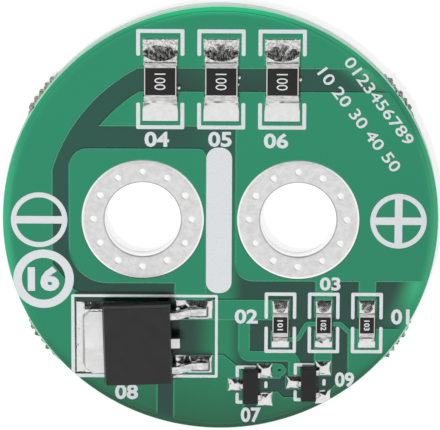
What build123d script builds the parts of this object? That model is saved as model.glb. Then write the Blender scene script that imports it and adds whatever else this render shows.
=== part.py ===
"""Round battery protection board: laminate, copper, solder mask, legend and the soldered parts."""
import os
from math import degrees, sqrt

from build123d import *

os.makedirs("parts", exist_ok=True)

# Board, in millimetres, with its underside on z = 0 and the parts on its upper side
board_diameter = 35.6
board_thickness = 1.6
copper_thickness = 0.07
tin_thickness = 0.03
mask_thickness = 0.02
mask_side_cover = 0.03
mask_edge_setback = 0.05
legend_thickness = 0.02
copper_edge_clearance = 0.45

# Stubs of the tabs that held the board in its panel
stub_angles = (35.4, 144.6, 215.4, 324.6)
stub_height = 0.36
stub_root = 0.5
perforation_diameter = 0.46
perforation_pitch = 0.7
perforation_count = 6

# Terminals, one hole each for the minus and the plus screw
hole_spacing = 12.7
hole_diameter = 6.2
ring_diameter = 10.0
wall_plating = 0.05
ring_via_count = 12
ring_via_circle = 8.0
ring_via_diameter = 0.4
ring_via_cap_diameter = 0.56
ring_via_cap_height = 0.05
ring_via_cap_taper = 50

# Power resistors R4, R5 and R6, side by side
power_row_x = 0.02
power_row_inset = 6.12
power_pitch = 4.95
power_length = 3.2
power_width = 2.6
power_height = 0.6
power_cap = 0.5
power_glaze_width = 2.44
power_pad_width = 2.88
power_pad_length = 2.25
power_pad_span = 6.86

# Signal resistors R2, R3 and R1, side by side
signal_row_x = 8.5
signal_row_above_middle = 0.62
signal_pitch = 3.55
signal_length = 2.0
signal_width = 1.28
signal_height = 0.5
signal_cap = 0.35
signal_glaze_width = 1.14
signal_pad_width = 1.4
signal_pad_length = 1.45
signal_pad_span = 4.1

# Common to the chip resistors
cap_plating = 0.04
glaze_proud = 0.02
chip_bond = 0.05
chip_wetting = 0.8
solder_film = 0.05
fillet_middle_reach = 0.36
fillet_middle_rise = 0.3

# Power transistor Q2, set down 1.9 degrees out of square
q2_x = -6.75
q2_drop = 5.2
q2_turn = 1.9
q2_bond = 0.08
q2_length = 5.64
q2_width = 6.74
q2_height = 2.3
q2_parting = 1.0
q2_lift = 0.05
q2_draft = 7
q2_tab_thickness = 0.5
q2_tab_width = 5.3
q2_tab_reach = 1.53
q2_tab_chamfer = 0.55
q2_tab_inside = 4.2
q2_lead_pitch = 4.6
q2_lead_width = 0.62
q2_lead_thickness = 0.5
q2_lead_reach = 2.87
q2_lead_shoulder = 0.5
q2_lead_foot = 1.3
q2_lead_inside = 0.6
q2_lead_bend = 0.3
q2_stub_width = 0.85
q2_stub_reach = 0.66
q2_link_inside = 1.5
q2_tab_pad_reach = (-5.04, 0.25, -2.78, 3.24)
q2_upper_pad_reach = (3.06, 6.15, 1.76, 3.41)
q2_lower_pad_reach = (3.06, 6.15, -2.82, -1.29)
q2_tab_solder_height = 0.3
q2_lead_solder_height = 0.42
q2_solder_taper = 50

# Three-legged packages: driver transistor Q1 and reference U1
q1_x = 2.52
q1_inset = 3.77
u1_x = 7.3
u1_inset = 4.0
small_length = 2.9
small_width = 1.3
small_height = 0.95
small_lift = 0.05
small_draft = 8
small_bond = 0.03
small_lead_pitch = 1.9
small_lead_span = 2.5
small_lead_width = 0.42
small_lead_thickness = 0.12
small_lead_foot = 0.32
small_lead_shoulder = 0.12
small_lead_inside = 0.2
small_lead_bend = 0.08
small_pad_offset = 1.2
small_pad_pitch = 2.42
small_pad_width = 1.26
small_pad_length = 1.22
small_single_pad_length = 1.08
small_solder_height = 0.15
small_solder_taper = 50

# Plated hole beside Q1
link_via_from_q1 = (2.37, 1.3)
link_via_drill = 0.4
link_via_bore = 0.24

# Copper pours on the upper side
pour_corner = 0.2
collector_top_band = 4.65
collector_arc_band = 2.95
collector_side_flat = 0.61
collector_slope_rise = 3.3
collector_slope_end = (0.31, 1.09)
collector_foot = (0.25, 0.74)
collector_right_margin = 1.29
plus_top_gap = 2.0
plus_step_drop = 2.82
plus_arc_gap = 1.8
plus_side_margin = 0.1
plus_bottom_margin = 0.14
plus_corner = 1.4
plus_strip_width = 1.28
minus_side_gap = 1.46
minus_side_margin = 0.13
minus_top_margin = 0.94
minus_bottom_margin = 0.34
minus_top_left_corner = 1.47
minus_top_right_corner = 0.57
minus_bottom_left_corner = 3.1
minus_track_width = 0.82
minus_track_bend = 0.5
minus_track_x = 1.96
minus_track_gap = 0.32
base_side_margin = 0.08
base_slope_x = 0.31
base_slope_rise = 0.59
cathode_gap_to_pad = 0.2
cathode_notch_start = 0.68
cathode_notch_end = 0.27
cathode_notch_drop = 0.76
reference_side_margin = 0.8
reference_top_margin = 0.17
reference_slope_rise = 1.6
reference_track_width = 0.3
reference_track_bend = 0.3
emitter_nose = 0.5

# Copper halves on the underside, with a bare strip between them
bottom_side_margin = 0.15

# Legend strokes, with their clearances to the pads that they frame
power_frame_stroke = 0.32
power_frame_side_clearance = 0.195
power_frame_end_clearance = 0.405
power_frame_gap = 3.9
signal_frame_stroke = 0.28
signal_frame_side_clearance = 0.32
signal_frame_end_clearance = 0.245
signal_frame_gap = 0.66
frame_y_shift = 0.06
q2_frame_stroke = 0.29
q2_frame_clearance = 0.13
legend_opening_clearance = 0.04
small_frame_stroke = 0.27
small_frame_left = 1.22
small_frame_half_height = 1.63
small_frame_upper_leg = 1.0
small_frame_lower_leg = 0.94
small_frame_top_length = 1.7
small_frame_foot_length = 0.66
small_frame_dash_x = 1.28
small_frame_dash_height = 0.58
bar_x = -0.12
bar_width = 2.1
bar_corner = 0.95
bar_head_gap = 1.525
bar_foot_gap = 0.15
sign_diameter = 4.62
sign_stroke = 0.42
sign_bar = 0.63
minus_sign_inset = 2.99
plus_sign_inset = 3.26
sign_y = -0.07
ring_sign_inset = 3.33
ring_sign_gap = 0.2
ring_sign_diameter = 4.96
ring_sign_stroke = 0.7

# Values that follow from the sizes above
board_radius = board_diameter / 2
copper_radius = board_radius - copper_edge_clearance
mask_radius = board_radius - mask_edge_setback
hole_radius = hole_diameter / 2
ring_radius = ring_diameter / 2
plate_height = copper_thickness + tin_thickness
laminate_bottom = plate_height
laminate_top = board_thickness - plate_height
copper_bottom = tin_thickness
copper_top = laminate_top + copper_thickness
mask_low = laminate_top + mask_thickness
mask_high = copper_top + mask_thickness
legend_top = mask_high + legend_thickness
terminal_points = ((-hole_spacing / 2, 0), (hole_spacing / 2, 0))
beyond = board_diameter
power_row_y = board_radius - power_row_inset
q1_y = q1_inset - board_radius
u1_y = u1_inset - board_radius
q2_y = -ring_radius - q2_drop
signal_row_y = (u1_y - ring_radius) / 2 + signal_row_above_middle
link_via_x = q1_x + link_via_from_q1[0]
link_via_y = q1_y + link_via_from_q1[1]
power_xs = {"r4": power_row_x - power_pitch, "r5": power_row_x, "r6": power_row_x + power_pitch}
signal_xs = {"r2": signal_row_x - signal_pitch, "r3": signal_row_x, "r1": signal_row_x + signal_pitch}


def finish(piece, name):
    """Label a finished piece and write it out under its own name."""
    piece.part.label = name
    export_step(piece.part, f"parts/{name}.step")


def box_between(x_low, x_high, y_low, y_high):
    """Add a rectangle given by its sides to the sketch that is being built."""
    with Locations(((x_low + x_high) / 2, (y_low + y_high) / 2)):
        Rectangle(x_high - x_low, y_high - y_low)


def chip_pads(x, y, pad_width, pad_length, pad_span):
    """Upper and lower pad of a chip resistor as their four sides."""
    half = pad_width / 2
    outer = pad_span / 2
    inner = outer - pad_length
    return (x - half, x + half, y + inner, y + outer), (x - half, x + half, y - outer, y - inner)


def small_pads(x, y):
    """Left, upper right and lower right pad of a three-legged package as their four sides."""
    half = small_pad_width / 2
    left = (x - small_pad_offset - half, x - small_pad_offset + half)
    right = (x + small_pad_offset - half, x + small_pad_offset + half)
    single = small_single_pad_length / 2
    pair = small_pad_length / 2
    rise = small_pad_pitch / 2
    return (
        (*left, y - single, y + single),
        (*right, y + rise - pair, y + rise + pair),
        (*right, y - rise - pair, y - rise + pair),
    )


def q2_pad(left, right, low, high):
    """A pad of the power transistor as its four sides, given from the transistor's middle."""
    return q2_x + left, q2_x + right, q2_y + low, q2_y + high


power_pads = {n: chip_pads(x, power_row_y, power_pad_width, power_pad_length, power_pad_span)
              for n, x in power_xs.items()}
signal_pads = {n: chip_pads(x, signal_row_y, signal_pad_width, signal_pad_length, signal_pad_span)
               for n, x in signal_xs.items()}
q1_left, q1_upper, q1_lower = small_pads(q1_x, q1_y)
u1_left, u1_upper, u1_lower = small_pads(u1_x, u1_y)
q2_tab_pad = q2_pad(*q2_tab_pad_reach)
q2_upper_pad = q2_pad(*q2_upper_pad_reach)
q2_lower_pad = q2_pad(*q2_lower_pad_reach)
all_pads = [pad for pair in (*power_pads.values(), *signal_pads.values()) for pad in pair]
all_pads += [q1_left, q1_upper, q1_lower, u1_left, u1_upper, u1_lower]
all_pads += [q2_tab_pad, q2_upper_pad, q2_lower_pad]


# Copper outlines, each as a flat sketch that copper and solder mask share
def trim_to_board():
    """Keep the sketch inside the copper limit and off the two terminals."""
    Circle(copper_radius, mode=Mode.INTERSECT)
    with Locations(*terminal_points):
        Circle(ring_radius, mode=Mode.SUBTRACT)


with BuildSketch() as collector_outline:
    collector_arc_radius = copper_radius - collector_arc_band
    collector_lower_y = copper_radius - collector_top_band
    collector_left_x = collector_side_flat - collector_arc_radius
    tab_pad_left, tab_pad_right, _, tab_pad_top = q2_tab_pad
    collector_foot_y = tab_pad_top + collector_foot[1]
    collector_right_x = tab_pad_right + collector_right_margin
    arc_top_x = -sqrt(collector_arc_radius**2 - collector_lower_y**2)
    arc_low_y = sqrt(collector_arc_radius**2 - collector_left_x**2)
    with BuildLine():
        Line((beyond, collector_lower_y), (arc_top_x, collector_lower_y))
        RadiusArc((arc_top_x, collector_lower_y), (collector_left_x, arc_low_y), -collector_arc_radius)
        Polyline(
            (collector_left_x, arc_low_y),
            (collector_left_x, tab_pad_top + collector_slope_rise),
            (tab_pad_left - collector_slope_end[0], tab_pad_top + collector_slope_end[1]),
            (tab_pad_left + collector_foot[0], collector_foot_y),
            (collector_right_x, collector_foot_y),
            (collector_right_x, -beyond),
            (-beyond, -beyond),
            (-beyond, beyond),
            (beyond, beyond),
            (beyond, collector_lower_y),
        )
    make_face()
    for pads in power_pads.values():
        box_between(*pads[0])
    box_between(*q2_tab_pad)
    trim_to_board()

with BuildSketch() as plus_outline:
    plus_arc_radius = collector_arc_radius - plus_arc_gap
    plus_top_y = collector_lower_y - plus_top_gap
    plus_step_y = plus_top_y - plus_step_drop
    plus_bottom_y = -ring_radius - plus_bottom_margin
    plus_left_x = hole_spacing / 2 - ring_radius - plus_side_margin
    arc_top_x = -sqrt(plus_arc_radius**2 - plus_top_y**2)
    arc_low_x = -sqrt(plus_arc_radius**2 - plus_step_y**2)
    with BuildLine():
        RadiusArc((arc_low_x, plus_step_y), (arc_top_x, plus_top_y), plus_arc_radius)
        Polyline((arc_top_x, plus_top_y), (beyond, plus_top_y), (beyond, plus_bottom_y))
        FilletPolyline(
            (beyond, plus_bottom_y),
            (plus_left_x, plus_bottom_y),
            (plus_left_x, plus_step_y),
            (arc_low_x, plus_step_y),
            radius=(plus_corner, pour_corner),
        )
    make_face()
    for pads in power_pads.values():
        box_between(*pads[1])
    for name in ("r3", "r1"):
        box_between(*signal_pads[name][0])
        strip_bottom = signal_pads[name][0][2]
        half_strip = plus_strip_width / 2
        box_between(signal_xs[name] - half_strip, signal_xs[name] + half_strip, strip_bottom, plus_bottom_y)
    trim_to_board()

with BuildSketch() as minus_outline:
    minus_left_x = collector_left_x + minus_side_gap
    minus_right_x = ring_radius - hole_spacing / 2 + minus_side_margin
    minus_top_y = ring_radius + minus_top_margin
    minus_bottom_y = -ring_radius - minus_bottom_margin
    neck_left_x, _, strip_bottom_y, strip_top_y = q2_upper_pad
    with BuildLine():
        FilletPolyline(
            (minus_left_x, minus_top_y),
            (minus_right_x, minus_top_y),
            (minus_right_x, minus_bottom_y),
            (minus_left_x, minus_bottom_y),
            radius=(minus_top_left_corner, minus_top_right_corner, pour_corner, minus_bottom_left_corner),
            close=True,
        )
    make_face()
    box_between(neck_left_x, minus_right_x, strip_bottom_y, 0)
    box_between(neck_left_x, signal_pads["r2"][0][1], strip_bottom_y, strip_top_y)
    minus_track_y = signal_pads["r2"][1][2] - minus_track_gap - minus_track_width / 2
    track_end_x = (u1_left[0] + u1_left[1]) / 2
    with BuildLine():
        FilletPolyline(
            (minus_track_x, strip_bottom_y),
            (minus_track_x, minus_track_y),
            (track_end_x, minus_track_y),
            (track_end_x, u1_left[3]),
            radius=minus_track_bend,
        )
    trace(line_width=minus_track_width)
    for pad in (q2_upper_pad, signal_pads["r2"][0], u1_left):
        box_between(*pad)
    trim_to_board()

with BuildSketch() as base_outline:
    base_left_x = q2_lower_pad[0] - base_side_margin
    base_top_y = q2_lower_pad[3]
    base_right_x = q1_left[1]
    with BuildLine():
        FilletPolyline(
            (base_left_x, base_top_y),
            (base_slope_x, base_top_y),
            (base_right_x, q1_left[3] + base_slope_rise),
            (base_right_x, -beyond),
            (base_left_x, -beyond),
            radius=pour_corner,
            close=True,
        )
    make_face()
    for pad in (q2_lower_pad, q1_left):
        box_between(*pad)
    trim_to_board()

with BuildSketch() as cathode_outline:
    under_left_x = u1_left[1] + cathode_gap_to_pad
    under_right_x = u1_lower[0] - cathode_gap_to_pad
    strip_left_x = signal_pads["r3"][1][0]
    strip_right_x = u1_upper[1]
    notch_top_y = q1_lower[3]
    notch_bottom_y = u1_left[2] - cathode_notch_drop
    with BuildLine():
        Polyline(
            (strip_left_x, signal_pads["r3"][1][2]),
            (strip_right_x, signal_pads["r3"][1][2]),
            (strip_right_x, u1_upper[2]),
            (under_right_x, u1_upper[2]),
            (under_right_x, -beyond),
            (q1_lower[0], -beyond),
            (q1_lower[0], notch_top_y),
            (u1_left[0] - cathode_notch_start, notch_top_y),
            (u1_left[0] - cathode_notch_end, notch_bottom_y),
            (under_left_x, notch_bottom_y),
            (under_left_x, u1_upper[2]),
            (strip_left_x, u1_upper[3]),
            close=True,
        )
    make_face()
    for pad in (signal_pads["r3"][1], u1_upper, q1_lower):
        box_between(*pad)
    trim_to_board()

with BuildSketch() as reference_outline:
    reference_left_x = signal_pads["r1"][1][0] - reference_side_margin
    reference_top_y = signal_pads["r1"][1][3] + reference_top_margin
    with BuildLine():
        FilletPolyline(
            (reference_left_x, reference_top_y),
            (beyond, reference_top_y),
            (beyond, -beyond),
            (u1_lower[0], -beyond),
            (u1_lower[0], u1_lower[3]),
            (u1_lower[1], u1_lower[3]),
            (reference_left_x, u1_lower[3] + reference_slope_rise),
            radius=pour_corner,
            close=True,
        )
    make_face()
    for pad in (signal_pads["r2"][1], signal_pads["r1"][1], u1_lower):
        box_between(*pad)
    with BuildLine():
        r2_exit_y = signal_row_y - signal_pad_span / 2 + signal_pad_length / 2
        FilletPolyline(
            (signal_xs["r2"], r2_exit_y),
            (signal_xs["r2"] + signal_pad_width, r2_exit_y),
            (signal_xs["r3"] - signal_pad_width, signal_row_y),
            (signal_xs["r3"] + signal_pad_width, signal_row_y),
            (signal_xs["r1"] - signal_pad_width / 2, signal_row_y - signal_pad_width),
            radius=reference_track_bend,
        )
    trace(line_width=reference_track_width)
    trim_to_board()

with BuildSketch() as emitter_outline:
    box_between(*q1_upper)
    with BuildLine():
        Polyline(
            (q1_upper[0], q1_upper[3]),
            (link_via_x, q1_upper[3]),
            (link_via_x + emitter_nose, link_via_y),
            (link_via_x, q1_upper[2]),
            (q1_upper[0], q1_upper[2]),
            close=True,
        )
    make_face()
    with Locations((link_via_x, link_via_y)):
        Circle(emitter_nose)
    trim_to_board()

upper_copper = {
    "copper_collector": collector_outline,
    "copper_plus": plus_outline,
    "copper_minus": minus_outline,
    "copper_base": base_outline,
    "copper_cathode": cathode_outline,
    "copper_reference": reference_outline,
    "copper_emitter": emitter_outline,
}


def bottom_half(side):
    """Outline of one copper half on the underside; side is -1 for minus and +1 for plus."""
    inner_x = hole_spacing / 2 - ring_radius - bottom_side_margin
    with BuildSketch() as outline:
        with Locations((side * (inner_x + beyond / 2), 0)):
            Rectangle(beyond, 2 * beyond)
        trim_to_board()
    return outline


lower_copper = {"copper_bottom_minus": bottom_half(-1), "copper_bottom_plus": bottom_half(1)}


# Laminate disc with its stubs and holes
def stub_outline():
    """Bands outside the disc, notched by the perforation, at the four tab places."""
    perforation_radius = board_radius + perforation_diameter / 2
    step = degrees(perforation_pitch / perforation_radius)
    spread = step * (perforation_count - 1)
    with BuildSketch() as places:
        for angle in stub_angles:
            with PolarLocations(board_radius, 1, start_angle=angle):
                Rectangle(2 * stub_root + stub_height, perforation_pitch * perforation_count)
    with BuildSketch() as band:
        Circle(board_radius + stub_height)
        add(places.sketch, mode=Mode.INTERSECT)
        for angle in stub_angles:
            with PolarLocations(perforation_radius, perforation_count, start_angle=angle - spread / 2,
                                angular_range=spread, endpoint=True):
                Circle(perforation_diameter / 2, mode=Mode.SUBTRACT)
    return band


with BuildPart() as board_laminate:
    stubs = stub_outline()
    with BuildSketch(Plane.XY.offset(laminate_bottom)):
        Circle(board_radius)
        add(stubs.sketch)
        with Locations(*terminal_points):
            Circle(hole_radius + wall_plating, mode=Mode.SUBTRACT)
        for x, y in terminal_points:
            with Locations((x, y)):
                with PolarLocations(ring_via_circle / 2, ring_via_count):
                    Circle(ring_via_diameter / 2, mode=Mode.SUBTRACT)
        with Locations((link_via_x, link_via_y)):
            Circle(link_via_drill / 2, mode=Mode.SUBTRACT)
    extrude(amount=laminate_top - laminate_bottom)
finish(board_laminate, "board_laminate")


# Copper
def link_via_hole():
    """Open the sketch where the plated hole beside Q1 passes."""
    with Locations((link_via_x, link_via_y)):
        Circle(link_via_drill / 2, mode=Mode.SUBTRACT)


for level, outlines in ((laminate_top, upper_copper), (copper_bottom, lower_copper)):
    for name, outline in outlines.items():
        with BuildPart() as copper:
            with BuildSketch(Plane.XY.offset(level)):
                add(outline.sketch)
                link_via_hole()
            extrude(amount=copper_thickness)
        finish(copper, name)

with BuildPart() as link_via:
    with BuildSketch(Plane.XY.offset(copper_bottom)):
        with Locations((link_via_x, link_via_y)):
            Circle(link_via_drill / 2)
            Circle(link_via_bore / 2, mode=Mode.SUBTRACT)
    extrude(amount=copper_top - copper_bottom)
finish(link_via, "link_via")


# Tinned terminals: a ring on each side, the plated wall between them and the filled vias
def terminal(name, x):
    with BuildPart() as piece:
        for level in (0, laminate_top):
            with BuildSketch(Plane.XY.offset(level)):
                with Locations((x, 0)):
                    Circle(ring_radius)
            extrude(amount=plate_height)
        with BuildSketch():
            with Locations((x, 0)):
                Circle(hole_radius + wall_plating)
                with PolarLocations(ring_via_circle / 2, ring_via_count):
                    Circle(ring_via_diameter / 2)
        extrude(amount=board_thickness)
        with BuildSketch(Plane.XY.offset(board_thickness)):
            with Locations((x, 0)):
                with PolarLocations(ring_via_circle / 2, ring_via_count):
                    Circle(ring_via_cap_diameter / 2)
        extrude(amount=ring_via_cap_height, taper=ring_via_cap_taper)
        with BuildSketch():
            with Locations((x, 0)):
                Circle(hole_radius)
        extrude(amount=board_thickness + ring_via_cap_height, mode=Mode.SUBTRACT)
    finish(piece, name)


terminal("terminal_minus", terminal_points[0][0])
terminal("terminal_plus", terminal_points[1][0])


# Solder mask, raised where it covers copper and open at the pads and terminals
def mask_openings(pads):
    with Locations(*terminal_points):
        Circle(ring_radius)
    with Locations((link_via_x, link_via_y)):
        Circle(link_via_bore / 2)
    for pad in pads:
        box_between(*pad)


def link_via_barrel():
    """The rim of the plated hole, which the mask rests on as it does on copper."""
    with Locations((link_via_x, link_via_y)):
        Circle(link_via_drill / 2)


def raised_outline(outlines):
    """Outline of the mask's raised areas, which also cover the copper's sides."""
    with BuildSketch() as raised:
        for outline in outlines.values():
            add(outline.sketch)
        offset(amount=mask_side_cover, kind=Kind.INTERSECTION)
    return raised


upper_raised = raised_outline(upper_copper)
lower_raised = raised_outline(lower_copper)

with BuildPart() as solder_mask_top:
    with BuildSketch(Plane.XY.offset(laminate_top)):
        Circle(mask_radius)
    extrude(amount=mask_thickness)
    with BuildSketch(Plane.XY.offset(laminate_top)):
        add(upper_raised.sketch)
    extrude(amount=mask_high - laminate_top)
    with BuildSketch(Plane.XY.offset(laminate_top)):
        for outline in upper_copper.values():
            add(outline.sketch)
        link_via_barrel()
    extrude(amount=copper_thickness, mode=Mode.SUBTRACT)
    with BuildSketch(Plane.XY.offset(laminate_top)):
        mask_openings(all_pads)
    extrude(amount=mask_high - laminate_top, mode=Mode.SUBTRACT)
finish(solder_mask_top, "solder_mask_top")

with BuildPart() as solder_mask_bottom:
    with BuildSketch(Plane.XY.offset(laminate_bottom)):
        Circle(mask_radius)
    extrude(amount=-mask_thickness)
    with BuildSketch(Plane.XY.offset(laminate_bottom)):
        add(lower_raised.sketch)
    extrude(amount=-(copper_thickness + mask_thickness))
    with BuildSketch(Plane.XY.offset(laminate_bottom)):
        for outline in lower_copper.values():
            add(outline.sketch)
        link_via_barrel()
    extrude(amount=-copper_thickness, mode=Mode.SUBTRACT)
    with BuildSketch(Plane.XY.offset(laminate_bottom)):
        mask_openings([])
    extrude(amount=-(copper_thickness + mask_thickness), mode=Mode.SUBTRACT)
finish(solder_mask_bottom, "solder_mask_bottom")


# Legend ink, level on top and following the mask below
def stroke_frame(x, y, inner_width, inner_height, stroke):
    with Locations((x, y)):
        Rectangle(inner_width + 2 * stroke, inner_height + 2 * stroke)
        Rectangle(inner_width, inner_height, mode=Mode.SUBTRACT)


def split_frame(x, y, inner_width, inner_height, stroke, gap):
    """A frame whose two upright sides are broken in the middle."""
    with BuildSketch() as frame:
        stroke_frame(x, y + frame_y_shift, inner_width, inner_height, stroke)
        with Locations((x, y + frame_y_shift)):
            Rectangle(2 * inner_width, gap, mode=Mode.SUBTRACT)
    add(frame.sketch)


def small_frame(x, y):
    """Corner strokes and the dash beside a three-legged package."""
    left = x - small_frame_left
    top = y + small_frame_half_height
    bottom = y - small_frame_half_height
    box_between(left, left + small_frame_top_length, top - small_frame_stroke, top)
    box_between(left, left + small_frame_stroke, top - small_frame_upper_leg, top)
    box_between(left, left + small_frame_foot_length, bottom, bottom + small_frame_stroke)
    box_between(left, left + small_frame_stroke, bottom, bottom + small_frame_lower_leg)
    with Locations((x + small_frame_dash_x, y)):
        SlotOverall(small_frame_dash_height, small_frame_stroke, rotation=90)


def legend_keep_out():
    """Outline that the ink stays clear of: the mask's openings and a margin around each."""
    with BuildSketch() as openings:
        mask_openings(all_pads)
        offset(amount=legend_opening_clearance, kind=Kind.INTERSECTION)
    return openings


no_ink = legend_keep_out()


def print_ink(name, outline):
    """Ink of the outline's shape, laid on the upper mask and kept inside its edge."""
    with BuildPart() as ink:
        with BuildSketch(Plane.XY.offset(mask_low)):
            add(outline.sketch)
            add(no_ink.sketch, mode=Mode.SUBTRACT)
            Circle(mask_radius, mode=Mode.INTERSECT)
        extrude(amount=legend_top - mask_low)
        with BuildSketch(Plane.XY.offset(mask_low)):
            add(upper_raised.sketch)
        extrude(amount=mask_high - mask_low, mode=Mode.SUBTRACT)
    finish(ink, name)


with BuildSketch() as outlines_ink:
    power_inner_width = power_pad_width + 2 * power_frame_side_clearance
    power_inner_height = power_pad_span + 2 * power_frame_end_clearance
    for x in power_xs.values():
        split_frame(x, power_row_y, power_inner_width, power_inner_height,
                    power_frame_stroke, power_frame_gap)
    signal_inner_width = signal_pad_width + 2 * signal_frame_side_clearance
    signal_inner_height = signal_pad_span + 2 * signal_frame_end_clearance
    for x in signal_xs.values():
        split_frame(x, signal_row_y, signal_inner_width, signal_inner_height,
                    signal_frame_stroke, signal_frame_gap)
    q2_inner_left = q2_tab_pad[0] - q2_frame_clearance
    q2_inner_right = q2_upper_pad[1] + q2_frame_clearance
    q2_inner_bottom = min(q2_tab_pad[2], q2_lower_pad[2]) - q2_frame_clearance
    q2_inner_top = max(q2_tab_pad[3], q2_upper_pad[3]) + q2_frame_clearance
    with BuildSketch() as q2_frame:
        stroke_frame((q2_inner_left + q2_inner_right) / 2, (q2_inner_bottom + q2_inner_top) / 2,
                     q2_inner_right - q2_inner_left, q2_inner_top - q2_inner_bottom, q2_frame_stroke)
    add(q2_frame.sketch)
    small_frame(q1_x, q1_y)
    small_frame(u1_x, u1_y)
print_ink("legend_outlines", outlines_ink)

with BuildSketch() as bar_ink:
    bar_top = power_row_y + frame_y_shift - power_inner_height / 2 - power_frame_stroke - bar_head_gap
    bar_bottom = q2_inner_top + q2_frame_stroke + bar_foot_gap
    with Locations((bar_x, (bar_top + bar_bottom) / 2)):
        RectangleRounded(bar_width, bar_top - bar_bottom, bar_corner)
print_ink("legend_separator_bar", bar_ink)

with BuildSketch() as minus_ink:
    with Locations((minus_sign_inset - board_radius, sign_y)):
        Circle(sign_diameter / 2)
        Circle(sign_diameter / 2 - sign_stroke, mode=Mode.SUBTRACT)
        Rectangle(sign_diameter - sign_stroke, sign_bar)
print_ink("legend_minus_sign", minus_ink)

with BuildSketch() as plus_ink:
    with Locations((board_radius - plus_sign_inset, sign_y)):
        Circle(sign_diameter / 2)
        Circle(sign_diameter / 2 - sign_stroke, mode=Mode.SUBTRACT)
        Rectangle(sign_diameter - sign_stroke, sign_bar)
        Rectangle(sign_bar, sign_diameter - sign_stroke)
print_ink("legend_plus_sign", plus_ink)

with BuildSketch() as ring_ink:
    ring_sign_y = sign_y - sign_diameter / 2 - ring_sign_gap - ring_sign_diameter / 2
    with Locations((ring_sign_inset - board_radius, ring_sign_y)):
        Circle(ring_sign_diameter / 2)
        Circle(ring_sign_diameter / 2 - ring_sign_stroke, mode=Mode.SUBTRACT)
    add(outlines_ink.sketch, mode=Mode.SUBTRACT)
print_ink("legend_ring_sign", ring_ink)


# Chip resistors: ceramic block, wrapped end caps, glazed top and two solder fillets
def chip_resistor(name, x, y, length, width, height, cap, glaze_width, pads):
    seat = copper_top + chip_bond
    core_height = height - 2 * cap_plating
    with BuildPart() as ceramic:
        with Locations((x, y, seat + height / 2)):
            Box(width, length - 2 * cap_plating, core_height)
    finish(ceramic, f"{name}_ceramic")

    with BuildPart() as caps:
        with Locations((x, y, seat + height / 2)):
            Box(width, length, height)
            Box(2 * width, length - 2 * cap, 2 * height, mode=Mode.SUBTRACT)
        add(ceramic.part, mode=Mode.SUBTRACT)
        ends = caps.edges().filter_by(Axis.X).group_by(Axis.Y)
        outer = ShapeList([*ends[0], *ends[-1]])
        fillet(outer, cap_plating)
    finish(caps, f"{name}_end_caps")

    with BuildPart() as glaze:
        with BuildSketch(Plane.XY.offset(seat + height - cap_plating)):
            with Locations((x, y)):
                RectangleRounded(glaze_width, length - 2 * cap, cap_plating)
        extrude(amount=cap_plating + glaze_proud)
    finish(glaze, f"{name}_overcoat")

    with BuildPart() as solder:
        for side, pad in ((1, pads[0]), (-1, pads[1])):
            end_y = y + side * length / 2
            outer_y = pad[3] if side > 0 else pad[2]
            inner_y = pad[2] if side > 0 else pad[3]
            top = seat + height * chip_wetting
            film = copper_top + solder_film
            with BuildSketch(Plane.YZ.offset(x)):
                with BuildLine():
                    Polyline((end_y, top), (end_y, seat), (inner_y, seat), (inner_y, copper_top),
                             (outer_y, copper_top), (outer_y, film))
                    middle_y = end_y + (outer_y - end_y) * fillet_middle_reach
                    middle_z = film + (top - film) * fillet_middle_rise
                    ThreePointArc((outer_y, film), (middle_y, middle_z), (end_y, top))
                make_face()
            extrude(amount=(pad[1] - pad[0]) / 2, both=True)
    finish(solder, f"{name}_solder")


for name, x in power_xs.items():
    chip_resistor(name, x, power_row_y, power_length, power_width, power_height, power_cap,
                  power_glaze_width, power_pads[name])
for name, x in signal_xs.items():
    chip_resistor(name, x, signal_row_y, signal_length, signal_width, signal_height, signal_cap,
                  signal_glaze_width, signal_pads[name])


# Power transistor
q2_seat = copper_top + q2_bond
q2_plane = Plane(origin=(q2_x, q2_y, q2_seat)).rotated((0, 0, q2_turn))
q2_end = q2_length / 2


def q2_side_plane(v):
    """Plane of the transistor's length and height, v to the side of its middle."""
    return Plane(origin=q2_plane.from_local_coords((0, v, 0)), x_dir=q2_plane.x_dir, z_dir=-q2_plane.y_dir)


def q2_lead(name, v):
    lead_level = q2_parting + q2_lead_thickness / 2
    foot_level = q2_lead_thickness / 2
    reach = q2_end + q2_lead_reach
    with BuildPart() as lead:
        with BuildSketch(q2_side_plane(v)):
            with BuildLine():
                FilletPolyline(
                    (q2_end - q2_lead_inside, lead_level),
                    (q2_end + q2_lead_shoulder, lead_level),
                    (reach - q2_lead_foot, foot_level),
                    (reach, foot_level),
                    radius=q2_lead_bend,
                )
            trace(line_width=q2_lead_thickness)
        extrude(amount=q2_lead_width / 2, both=True)
    finish(lead, name)
    return lead


q2_emitter_lead = q2_lead("q2_emitter_lead", q2_lead_pitch / 2)
q2_base_lead = q2_lead("q2_base_lead", -q2_lead_pitch / 2)

with BuildPart() as q2_heat_tab:
    with BuildSketch(q2_plane):
        tab_outer = -q2_end - q2_tab_reach
        with BuildLine():
            Polyline(
                (tab_outer, -q2_tab_width / 2 + q2_tab_chamfer),
                (tab_outer + q2_tab_chamfer, -q2_tab_width / 2),
                (-q2_end + q2_tab_inside, -q2_tab_width / 2),
                (-q2_end + q2_tab_inside, q2_tab_width / 2),
                (tab_outer + q2_tab_chamfer, q2_tab_width / 2),
                (tab_outer, q2_tab_width / 2 - q2_tab_chamfer),
                close=True,
            )
        make_face()
    extrude(amount=q2_tab_thickness)
    with BuildSketch(q2_side_plane(0)):
        with BuildLine():
            Polyline(
                (q2_end - q2_link_inside - q2_lead_thickness, 0),
                (q2_end - q2_link_inside, 0),
                (q2_end - q2_link_inside, q2_parting),
                (q2_end + q2_stub_reach, q2_parting),
                (q2_end + q2_stub_reach, q2_parting + q2_lead_thickness),
                (q2_end - q2_link_inside - q2_lead_thickness, q2_parting + q2_lead_thickness),
                close=True,
            )
        make_face()
    extrude(amount=q2_stub_width / 2, both=True)
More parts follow.
